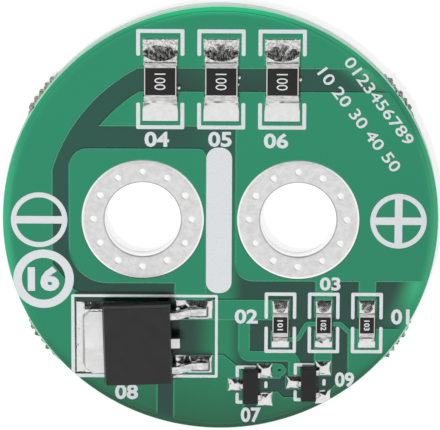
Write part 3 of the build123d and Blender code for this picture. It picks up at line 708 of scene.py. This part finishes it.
def laminate_disc():
    """Disc with its holes, whose stubs end in ragged teeth of glass fibre."""
    bm = bmesh.new()
    rim = bmesh.ops.create_circle(bm, radius=BOARD_R, segments=RIM_STEPS)["verts"]
    for x in (-HOLE_X, HOLE_X):
        bmesh.ops.create_circle(bm, radius=BARREL_R, segments=128,
                                matrix=Matrix.Translation((x, 0, 0)))
    bmesh.ops.create_circle(bm, radius=LINK_VIA_R, segments=24,
                            matrix=Matrix.Translation((*LINK_VIA, 0)))
    teeth = [[STUB_REACH * draw.uniform(0.55, 1.0) for _ in range(PERFORATION_COUNT + 1)]
             for _ in STUB_ANGLES]
    for tips in teeth:
        tips[0] *= END_TOOTH
        tips[-1] *= END_TOOTH
    for vert in rim:
        angle = degrees(vert.co.xy.angle_signed(Vector((1, 0)))) % 360
        vert.co.xy *= 1 + stub_reach(angle, teeth) / BOARD_R
    bmesh.ops.translate(bm, vec=(0, 0, LAMINATE_LOW), verts=bm.verts)
    bmesh.ops.triangle_fill(bm, edges=bm.edges, use_beauty=True)
    step = (LAMINATE_TOP - LAMINATE_LOW) / DISC_LAYERS
    faces = bm.faces[:]
    for layer in range(DISC_LAYERS):
        grown = bmesh.ops.extrude_face_region(bm, geom=faces, use_keep_orig=layer == 0)["geom"]
        faces = [g for g in grown if isinstance(g, bmesh.types.BMFace)]
        verts = [g for g in grown if isinstance(g, bmesh.types.BMVert)]
        bmesh.ops.translate(bm, vec=(0, 0, step), verts=verts)
    for vert in bm.verts:
        radius = vert.co.xy.length
        if radius > BOARD_R + 0.1:
            ragged = noise.noise(vert.co * 3.1) * 0.16 + noise.noise(vert.co * 9.0) * 0.07
            vert.co.xy *= min(BOARD_R + STUB_LIMIT, radius - 0.04 + ragged) / radius
    piece("board_disc", bm, LAMINATE, ["board_laminate"])


laminate_disc()


# Solder mask and copper
dress("solder_mask_top", MASK)
dress("solder_mask_bottom", UNDER_MASK)
for name in sorted(nodes):
    if name.startswith("copper_"):
        dress(name, COPPER)
dress("link_via", PLUG)


# Tinned terminals
def terminal_ring(name, x):
    """Ring on both sides and plated wall between them."""
    edge = 0.05
    lip = 0.07
    face = BOARD_TOP - 0.004
    outline = [
        (RING_R, LAMINATE_TOP), (RING_R, BOARD_TOP - edge),
        (RING_R - 0.35 * edge, BOARD_TOP - 0.35 * edge), (RING_R - edge, BOARD_TOP),
        (RING_R - 0.4, face), (HOLE_R + 0.4, face),
        (HOLE_R + lip, BOARD_TOP), (HOLE_R + 0.3 * lip, BOARD_TOP - 0.3 * lip),
        (HOLE_R, BOARD_TOP - lip), (HOLE_R, lip), (HOLE_R + 0.3 * lip, 0.3 * lip),
        (HOLE_R + lip, 0), (RING_R - edge, 0), (RING_R, edge),
        (RING_R, LAMINATE_LOW), (BARREL_R, LAMINATE_LOW), (BARREL_R, LAMINATE_TOP),
    ]
    bm = bmesh.new()
    verts = [bm.verts.new((x + radius, 0, height)) for radius, height in outline]
    edges = [bm.edges.new((verts[n - 1], verts[n])) for n in range(len(verts))]
    bmesh.ops.spin(bm, geom=verts + edges, cent=(x, 0, 0), axis=(0, 0, 1), angle=2 * pi, steps=160,
                   use_merge=True, use_duplicate=False)
    bmesh.ops.remove_doubles(bm, verts=bm.verts, dist=0.0005)
    piece(f"{name}_ring", bm, TIN, [name])


def via_ends(name, x):
    """Domed ends of the filled vias on a terminal's upper side."""
    bm = bmesh.new()
    sunk = 0.02
    flatness = (VIA_DOME_HEIGHT + 0.018) / VIA_DOME_R
    for n in range(VIA_COUNT):
        angle = 2 * pi * n / VIA_COUNT
        middle = (x + VIA_CIRCLE_R * cos(angle), VIA_CIRCLE_R * sin(angle), BOARD_TOP - sunk)
        dome = bmesh.ops.create_uvsphere(bm, u_segments=24, v_segments=12,
                                         radius=VIA_DOME_R)["verts"]
        size = draw.uniform(0.9, 1.0)
        bmesh.ops.scale(bm, vec=(size, size, flatness), verts=dome)
        bmesh.ops.translate(bm, vec=middle, verts=dome)
    piece(f"{name}_via_ends", bm, VIA_END)


for name, x in (("terminal_minus", -HOLE_X), ("terminal_plus", HOLE_X)):
    terminal_ring(name, x)
    via_ends(name, x)


# Solder that runs up a body from its pad
PAD_EDGE_R = 0.07
LINE_AWAY = 0.1
LINE_HALF = 0.12
WHOLE_LINE_HALF = 0.14


def held(value):
    """The value, kept between 0 and 1."""
    return min(1, max(0, value))


def solder_pad(bm, pad, body, top, reach, film=0.05, grid=0.05, corner=0.0, lean=1.4, roll=0.05,
               flank=0.0, bow=0.0, dome=0.0, lumps=0.012, coarse=3.0, crease=0.0, crevice_shade=0.0,
               side_rise=1.0, corner_cut=0.0):
    """Add a pad of solder that climbs from its film to top at the body, over the given reach.

    pad and body are left, right, low and high sides.
    corner: by how much the reach shrinks towards the body's corners
    lean: how hollow the climb is
    roll, flank: how far the solder stays level before it falls, and how much further at corners
    bow: how much lower the climb is at the pad's left and right
    dome: height of the pad's own swell
    lumps, coarse: height of its unevenness, and how close together that lies
    crease, crevice: depth of the line along the body, and darkness of the painted shade in it,
    unbroken at a crevice of 1
    side_rise: the part of the climb that is left beside the body
    corner_cut: size of the body's cut corners
    """
    shade = bm.verts.layers.float.get("crevice_shade") or bm.verts.layers.float.new("crevice_shade")
    left, right, near, far = pad
    steps_x = max(6, round((right - left) / grid))
    steps_y = max(6, round((far - near) / grid))
    made = bmesh.ops.create_grid(bm, x_segments=steps_x, y_segments=steps_y, size=0.5)["verts"]
    bmesh.ops.scale(bm, vec=(right - left, far - near, 1), verts=made)
    middle = ((left + right) / 2, (near + far) / 2, COPPER_TOP)
    bmesh.ops.translate(bm, vec=middle, verts=made)
    middle_x, middle_y = (body[0] + body[1]) / 2, (body[2] + body[3]) / 2
    half_x, half_y = (body[1] - body[0]) / 2, (body[3] - body[2]) / 2
    for vert in made:
        x, y, _ = vert.co
        from_x, from_y = abs(x - middle_x), abs(y - middle_y)
        away_x = max(0, from_x - half_x)
        away = hypot(away_x, max(0, from_y - half_y))
        off_body = away
        if corner_cut:
            off_body = max(away, (from_x - half_x + from_y - half_y + corner_cut) / sqrt(2))
        aside = min(1, from_x / half_x, from_y / half_y)
        wobble = 1 + 0.18 * noise.noise(Vector((x, y, 4.0)) * 1.7)
        level = roll + flank * aside**2
        run = max(0.15, reach * (1 - corner * aside**2) * wobble - level)
        climb = held(1 - (away - level) / run) ** lean
        climb *= 1 - (1 - side_rise) * min(1, away_x / max(away, 0.001))
        across = abs(2 * x - left - right) / (right - left)
        along = abs(2 * y - near - far) / (far - near)
        height = film + (top - COPPER_TOP - film) * climb * (1 - bow * across**2)
        height = max(height, film + dome * (1 - across**3) * (1 - along**2.2))
        height += lumps * noise.noise(Vector((x, y, 0.0)) * coarse)
        broken = held(0.7 + 1.6 * noise.noise(Vector((x * 2.0, middle_y, 7.0))))
        line = broken * max(0, 1 - abs(off_body - LINE_AWAY) / LINE_HALF)
        whole_line = max(0, 1 - abs(off_body - LINE_AWAY) / WHOLE_LINE_HALF)
        height -= crease * line
        # Painted shade along the line at the body
        vert[shade] = crevice_shade * (line if crevice_shade < 1 else whole_line)
        inset = min(x - left, right - x, y - near, far - y)
        border = min(1, sqrt(max(0.0, inset + 0.004) / PAD_EDGE_R))
        vert.co.z = COPPER_TOP + height * border
    outer_edges = {e for v in made for e in v.link_edges if e.is_boundary}
    skirt = bmesh.ops.extrude_edge_only(bm, edges=list(outer_edges))["geom"]
    lower = [g for g in skirt if isinstance(g, bmesh.types.BMVert)]
    for vert in lower:
        vert.co.z = COPPER_TOP
    bmesh.ops.contextual_create(bm, geom=[g for g in skirt if isinstance(g, bmesh.types.BMEdge)
                                          and all(v in lower for v in g.verts)])


# Chip resistors
CHIP_WETTED = 0.88
CAP_ROUNDING = 0.09
DIP_WAVE = 0.05
GLAZE_RISE = 0.02
CODE_RISE = 0.032


def chip_solder(name, x, y, sizes, solder):
    """Solder on a resistor's far and near pads."""
    bm = bmesh.new()
    half = sizes["pad_width"] / 2
    outer = sizes["pad_span"] / 2
    inner = outer - sizes["pad_length"]
    half_width, end = sizes["width"] / 2, sizes["length"] / 2
    chip = (x - half_width, x + half_width, y - end, y + end)
    top = CHIP_SEAT + sizes["height"] * CHIP_WETTED
    far_pad = (x - half, x + half, y + inner, y + outer)
    near_pad = (x - half, x + half, y - outer, y - inner)
    solder_pad(bm, far_pad, chip, top, film=0.08, grid=0.045, **sizes["far"])
    solder_pad(bm, near_pad, chip, top, grid=0.045, corner=0.3, roll=0.14, lean=1.6, crease=0.08,
               crevice_shade=0.9, **sizes["near"])
    piece(f"{name}_joints", bm, solder, [f"{name}_solder"])


def chip_caps(name, x, y, sizes):
    """Both metal ends, worn round, with the uneven edge that dipping leaves."""
    bm = bmesh.new()
    half = sizes["width"] / 2
    end = sizes["length"] / 2
    inner = end - sizes["cap"]
    for side in (-1, 1):
        low, high = sorted((side * inner, side * end))
        made = block(bm, x - half, x + half, y + low, y + high,
                     CHIP_SEAT, CHIP_SEAT + sizes["height"])
        across = [e for e in bm.edges if e.verts[0] in made and e.verts[1] in made
                  and abs(e.verts[0].co.x - e.verts[1].co.x) > half]
        bmesh.ops.subdivide_edges(bm, edges=across, cuts=24, use_grid_fill=True)
    soften(bm, CAP_ROUNDING, 3, lambda e: all(abs(v.co.y - y) > end - 0.01 for v in e.verts))
    for vert in bm.verts:
        if abs(abs(vert.co.y - y) - inner) < 0.01:
            side = 1 if vert.co.y > y else -1
            wave = noise.noise(Vector((vert.co.x * 2.3, side * 3.0, 1.0)))
            vert.co.y += side * DIP_WAVE * wave
    piece(f"{name}_metal_ends", bm, CAP, [f"{name}_end_caps"])


def chip_glaze(name, x, y, sizes):
    """Dark coat between the metal ends."""
    bm = bmesh.new()
    half = sizes["glaze"] / 2
    end = sizes["length"] / 2 - sizes["cap"] + 0.03
    body_top = CHIP_SEAT + sizes["height"]
    top = body_top + GLAZE_RISE
    block(bm, x - half, x + half, y - end, y + end, body_top - 0.06, top)
    soften(bm, 0.06, 3, upright)
    soften(bm, 0.025, 3, lambda e: all(v.co.z > top - 0.001 for v in e.verts))
    piece(f"{name}_glaze", bm, GLAZE, [f"{name}_overcoat"])


for middles, sizes, solder in ((POWER_MIDDLES, POWER_SIZES, SOLDER),
                               (SIGNAL_MIDDLES, SIGNAL_SIZES, LEAD_SOLDER)):
    for name, (x, y) in middles.items():
        chip_solder(name, x, y, sizes, solder)
        chip_caps(name, x, y, sizes)
        chip_glaze(name, x, y, sizes)
        dress(f"{name}_ceramic", CERAMIC)


# Small balls of solder left beside the power resistors, a little sunk into the mask
BALL_LIFT = 0.92
for count, (x, y, radius) in enumerate(SOLDER_BALLS, 1):
    ball = bmesh.new()
    middle = Matrix.Translation((x, y, MASK_LOW + radius * BALL_LIFT))
    bmesh.ops.create_icosphere(ball, subdivisions=3, radius=radius, matrix=middle)
    piece(f"solder_ball_{count}", ball, SOLDER)


# Power transistor
def q2_point(u, v):
    """Place on the board of a point u along and v across the transistor."""
    return (Q2_MIDDLE[0] + u * cos(Q2_TURN) - v * sin(Q2_TURN),
            Q2_MIDDLE[1] + u * sin(Q2_TURN) + v * cos(Q2_TURN))


def q2_body():
    """Moulding, with a top that stands a little further out on the far side."""
    bm = cad_copy("q2_moulding")
    top = max(v.co.z for v in bm.verts)
    for vert in bm.verts:
        if vert.co.z > top - 0.01 and vert.co.y > Q2_MIDDLE[1]:
            vert.co.y += 0.1
    soften(bm, 0.07, 3)
    piece("q2_body", bm, MOULDING, ["q2_moulding"], recalc=False, level=True)


def q2_joints():
    """Solder round the tab and along both feet."""
    bm = bmesh.new()
    tab_left, _ = q2_point(Q2_TAB_LEFT, 0)
    tab_low, tab_high = (Q2_MIDDLE[1] + side for side in Q2_TAB_SIDES)
    tab = (tab_left, Q2_TAB_PAD[1] + 1, tab_low, tab_high)
    solder_pad(bm, Q2_TAB_PAD, tab, Q2_SEAT + 0.44, 0.6, lumps=0.07, side_rise=0.35, crevice_shade=0.6,
               corner_cut=0.6)
    u, v = Q2_FOOT_MIDDLE
    half_x, half_y = Q2_FOOT_HALF
    for side, pad in zip((1, -1), Q2_LEAD_PADS):
        foot_x, foot_y = q2_point(u, side * v)
        foot = (foot_x - half_x, foot_x + half_x, foot_y - half_y, foot_y + half_y)
        solder_pad(bm, pad, foot, Q2_SEAT + 0.3, 0.75, grid=0.04, roll=0.12, lumps=0.09,
                   coarse=1.7, crease=0.06, crevice_shade=1.0)
    piece("q2_joints", bm, LEAD_SOLDER, ["q2_solder"])


q2_body()
softened_node("q2_heat_tab", "q2_tab", TAB, 0.05)
softened_node("q2_emitter_lead", "q2_emitter_leg", LEAD, 0.05)
softened_node("q2_base_lead", "q2_base_leg", LEAD, 0.05)
q2_joints()


# Three-legged packages
SMALL_PAD_X = 1.2
SMALL_PAD_HALF = 0.63
SMALL_FOOT_X = 1.1
SMALL_FOOT_HALF = (0.18, 0.21)
SMALL_LEAD_Y = 0.95
SMALL_RIM_GAP = 0.12
# Side, middle and width of each pad
SMALL_PADS = ((-1, 0, 1.08), (1, 1.21, 1.22), (1, -1.21, 1.22))


def small_joints(name, x, y):
    """Solder on a package's three pads, which end before the board's rim."""
    bm = bmesh.new()
    half_x, half_y = SMALL_FOOT_HALF
    for side, v, width in SMALL_PADS:
        pad_x = x + side * SMALL_PAD_X
        pad = (pad_x - SMALL_PAD_HALF, pad_x + SMALL_PAD_HALF, y + v - width / 2, y + v + width / 2)
        lead_y = y + (SMALL_LEAD_Y if v > 0 else -SMALL_LEAD_Y if v < 0 else 0)
        foot_x = x + side * SMALL_FOOT_X
        foot = (foot_x - half_x, foot_x + half_x, lead_y - half_y, lead_y + half_y)
        solder_pad(bm, pad, foot, SMALL_SEAT + 0.14, 0.55, film=0.04, grid=0.035, dome=0.3,
                   lumps=0.05)
    limit = BOARD_R - SMALL_RIM_GAP
    for vert in bm.verts:
        radius = vert.co.xy.length
        if radius > limit:
            vert.co.xy *= limit / radius
    piece(f"{name}_joints", bm, LEAD_SOLDER, [f"{name}_solder"])


for name, (x, y) in SMALL_MIDDLES.items():
    softened_node(f"{name}_moulding", f"{name}_body", SMALL_MOULDING, 0.05)
    for lead in SMALL_LEADS[name]:
        softened_node(f"{name}_{lead}_lead", f"{name}_{lead}_leg", LEAD, 0.02)
    small_joints(name, x, y)


# Legend
def thin_q2_frame(bm):
    """Draw the inner side of the power transistor's frame outwards, but not beyond the board."""
    left, right, low, high = Q2_FRAME
    near_by = 0.5
    for vert in bm.verts:
        x, y, _ = vert.co
        if not (left - near_by < x < right + near_by and low - near_by < y < high + near_by):
            continue
        on_left, on_right = abs(x - left) < 0.01, abs(x - right) < 0.01
        on_low, on_high = abs(y - low) < 0.01, abs(y - high) < 0.01
        if on_left and on_low:
            vert.co.xy += Vector((0.02, 0.02))
            continue
        vert.co.x += 0.06 * on_right - 0.04 * on_left
        vert.co.y += 0.07 * on_high - 0.06 * on_low


def ink_node(name, new_name):
    """A printed CAD node with round ends and a soft upper edge."""
    bm = cad_copy(name)
    if name == "legend_outlines":
        thin_q2_frame(bm)
    soften(bm, 0.125, 4, upright, angle=60, clamped=False)
    soften(bm, 0.012, 1, lambda e: all(v.co.z > INK_TOP - 0.002 for v in e.verts))
    piece(new_name, bm, INK, [name], sharp=40, recalc=False, level=True)


ink_node("legend_outlines", "component_outlines")
ink_node("legend_separator_bar", "separator_bar")
ink_node("legend_minus_sign", "minus_sign")
ink_node("legend_plus_sign", "plus_sign")
ink_node("legend_ring_sign", "ring_sign")


def number_mesh(text, height, weight):
    """Mesh of a plain number in the drawing's plane, its middle on the origin, of this height."""
    curve = bpy.data.curves.new("number", "FONT")
    curve.body = text
    curve.offset = weight
    curve.extrude = 0.02
    curve.resolution_u = 3
    holder = bpy.data.objects.new("number", curve)
    bpy.context.scene.collection.objects.link(holder)
    bpy.context.view_layer.update()
    graph = bpy.context.evaluated_depsgraph_get()
    mesh = bpy.data.meshes.new_from_object(holder.evaluated_get(graph))
    bpy.data.objects.remove(holder)
    bpy.data.curves.remove(curve)
    bm = bmesh.new()
    bm.from_mesh(mesh)
    bpy.data.meshes.remove(mesh)
    bmesh.ops.remove_doubles(bm, verts=bm.verts, dist=1e-5)
    xs = [v.co.x for v in bm.verts]
    ys = [v.co.y for v in bm.verts]
    middle = (-(min(xs) + max(xs)) / 2, -(min(ys) + max(ys)) / 2, 0)
    bmesh.ops.translate(bm, vec=middle, verts=bm.verts)
    bmesh.ops.scale(bm, vec=(height / (max(ys) - min(ys)),) * 2 + (1,), verts=bm.verts)
    return bm


def number(name, text, x, y, width, height, weight, turn=0.0, bottom=MASK_LOW, top=INK_TOP,
           finish=INK, slot="legend_ink"):
    """A printed number with its middle at x, y, from bottom to top."""
    bm = number_mesh(text, height, weight)
    xs = [v.co.x for v in bm.verts]
    bmesh.ops.scale(bm, vec=(width / (max(xs) - min(xs)), 1, 1), verts=bm.verts)
    for vert in bm.verts:
        vert.co.z = top if vert.co.z > 0 else bottom
    bm.transform(Matrix.Translation((x, y, 0)) @ Matrix.Rotation(radians(turn), 4, "Z"))
    piece(name, bm, finish)


def chip_codes(middles, codes, sizes):
    """Numbers printed along the glaze of the resistors."""
    body_top = CHIP_SEAT + sizes["height"]
    for (name, (x, y)), text in zip(middles.items(), codes):
        number(f"{name}_code", text, x - 0.02, y, turn=-90, bottom=body_top,
               top=body_top + CODE_RISE, finish=CODE, slot="resistor_glaze", **sizes["code"])


for text, (x, y, width, height) in PLACE_NUMBERS.items():
    number(f"place_number_{text}", text, x, y, width, height, weight=0.032)
number("row_upper", "0123456789", 12.84, 10.0, 8.7, 0.98, weight=0.012, turn=-53.5)
number("row_lower", "10 20 30 40 50", 11.27, 8.4, 10.4, 0.98, weight=0.012, turn=-53.1)
number("ring_number", "16", -14.47, -5.06, 2.6, 2.1, weight=0.05)
chip_codes(POWER_MIDDLES, POWER_CODES, POWER_SIZES)
chip_codes(SIGNAL_MIDDLES, SIGNAL_CODES, SIGNAL_SIZES)


# Floor and light
def seen_or_mirrored(finish):
    """1 for what the eye sees, straight on or in a reflection, and 0 for other light."""
    rays = finish.node("ShaderNodeLightPath")
    mirrored = rays.other("Is Glossy Ray").larger(rays.other("Is Transmission Ray"))
    return rays.other("Is Camera Ray").larger(mirrored)


def floor_finish():
    """Pale floor: white to the eye and in reflections, and plain to the light that bounces off."""
    finish = Finish("pale_floor")
    plain = finish.node("ShaderNodeBsdfDiffuse", {"Color": paint(226, 226, 226)})
    shade = finish.node("ShaderNodeBsdfDiffuse", {"Color": (0.3, 0.3, 0.3, 1)})
    glow = finish.node("ShaderNodeEmission", {"Color": (1, 1, 1, 1), "Strength": 0.8})
    shown = finish.node("ShaderNodeAddShader", {0: glow, 1: shade})
    mixed = finish.node("ShaderNodeMixShader", {0: seen_or_mirrored(finish), 1: plain, 2: shown})
    finish.node("ShaderNodeOutputMaterial", {"Surface": mixed})
    return finish.material


def card_finish():
    """Near black, for the card that the metal mirrors."""
    finish = Finish("black_card")
    dark = finish.node("ShaderNodeEmission", {"Color": (1, 1, 1, 1), "Strength": 0.015})
    finish.node("ShaderNodeOutputMaterial", {"Surface": dark})
    return finish.material


def flat_sheet(name, width, length, matrix, finish):
    """A flat stage piece, in metres."""
    bm = bmesh.new()
    bmesh.ops.create_grid(bm, x_segments=1, y_segments=1, size=0.5,
                          matrix=matrix @ Matrix.Diagonal((width, length, 1, 1)))
    mesh = bpy.data.meshes.new(name)
    bm.to_mesh(mesh)
    bm.free()
    mesh.materials.append(finish)
    made = bpy.data.objects.new(name, mesh)
    bpy.context.scene.collection.objects.link(made)
    return made


flat_sheet("floor", 3.0, 3.0, Matrix.Translation((0, 0, -0.0001)), floor_finish())

standing = Matrix.Translation((0, 0.16, 0.45)) @ Matrix.Rotation(pi / 2, 4, "X")
card = flat_sheet("black_card", 0.26, 0.9, standing, card_finish())
card.visible_camera = False
card.visible_diffuse = False
card.visible_shadow = False
card.visible_transmission = False

sky = Finish("studio", bpy.data.worlds)
bpy.context.scene.world = sky.material
sky_strength = FILL_LIGHT + seen_or_mirrored(sky) * (1 - FILL_LIGHT)
sky_light = sky.node("ShaderNodeBackground", {"Color": (1, 1, 1, 1), "Strength": sky_strength})
sky.node("ShaderNodeOutputWorld", {"Surface": sky_light})


def soft_lamp(name, at, size, power):
    """A round lamp that shines at the board's middle."""
    light = bpy.data.lights.new(name, "AREA")
    light.shape = "DISK"
    light.size = size
    light.energy = power
    lamp = bpy.data.objects.new(name, light)
    lamp.location = at
    lamp.rotation_euler = (-Vector(at)).to_track_quat("-Z", "Y").to_euler()
    bpy.context.scene.collection.objects.link(lamp)
    lamp.visible_glossy = False


soft_lamp("overhead", (-0.055, -0.052, 0.25), 0.05, 0.51)
soft_lamp("low_behind", (-0.02, 0.2, 0.055), 0.1, 0.16)

# Camera, tilted back from straight above
VIEW_TILT = radians(14.5)
VIEW_DISTANCE = 0.4
VIEW_ROLL = radians(0.246)
SENSOR_WIDTH = 36
IMAGE_WIDTH = 440
PIXELS_PER_METRE = 12250
look_at = Vector((-0.000042, 0.000392, BOARD_TOP / 1000 - 0.00001))
lens = bpy.data.cameras.new("camera")
lens.sensor_width = SENSOR_WIDTH
lens.lens = SENSOR_WIDTH * PIXELS_PER_METRE * VIEW_DISTANCE / IMAGE_WIDTH
lens.clip_start = 0.01
camera = bpy.data.objects.new("camera", lens)
camera.location = look_at + VIEW_DISTANCE * Vector((0, sin(VIEW_TILT), cos(VIEW_TILT)))
bpy.context.scene.collection.objects.link(camera)
forward = (look_at - camera.location).normalized()
right = forward.cross(Vector((0, 1, 0))).normalized()
up = right.cross(forward)
turned_right = right * cos(VIEW_ROLL) + up * sin(VIEW_ROLL)
turned_up = up * cos(VIEW_ROLL) - right * sin(VIEW_ROLL)
camera.rotation_euler = Matrix((turned_right, turned_up, -forward)).transposed().to_euler()
bpy.context.scene.camera = camera
bpy.context.scene.view_settings.view_transform = "Standard"
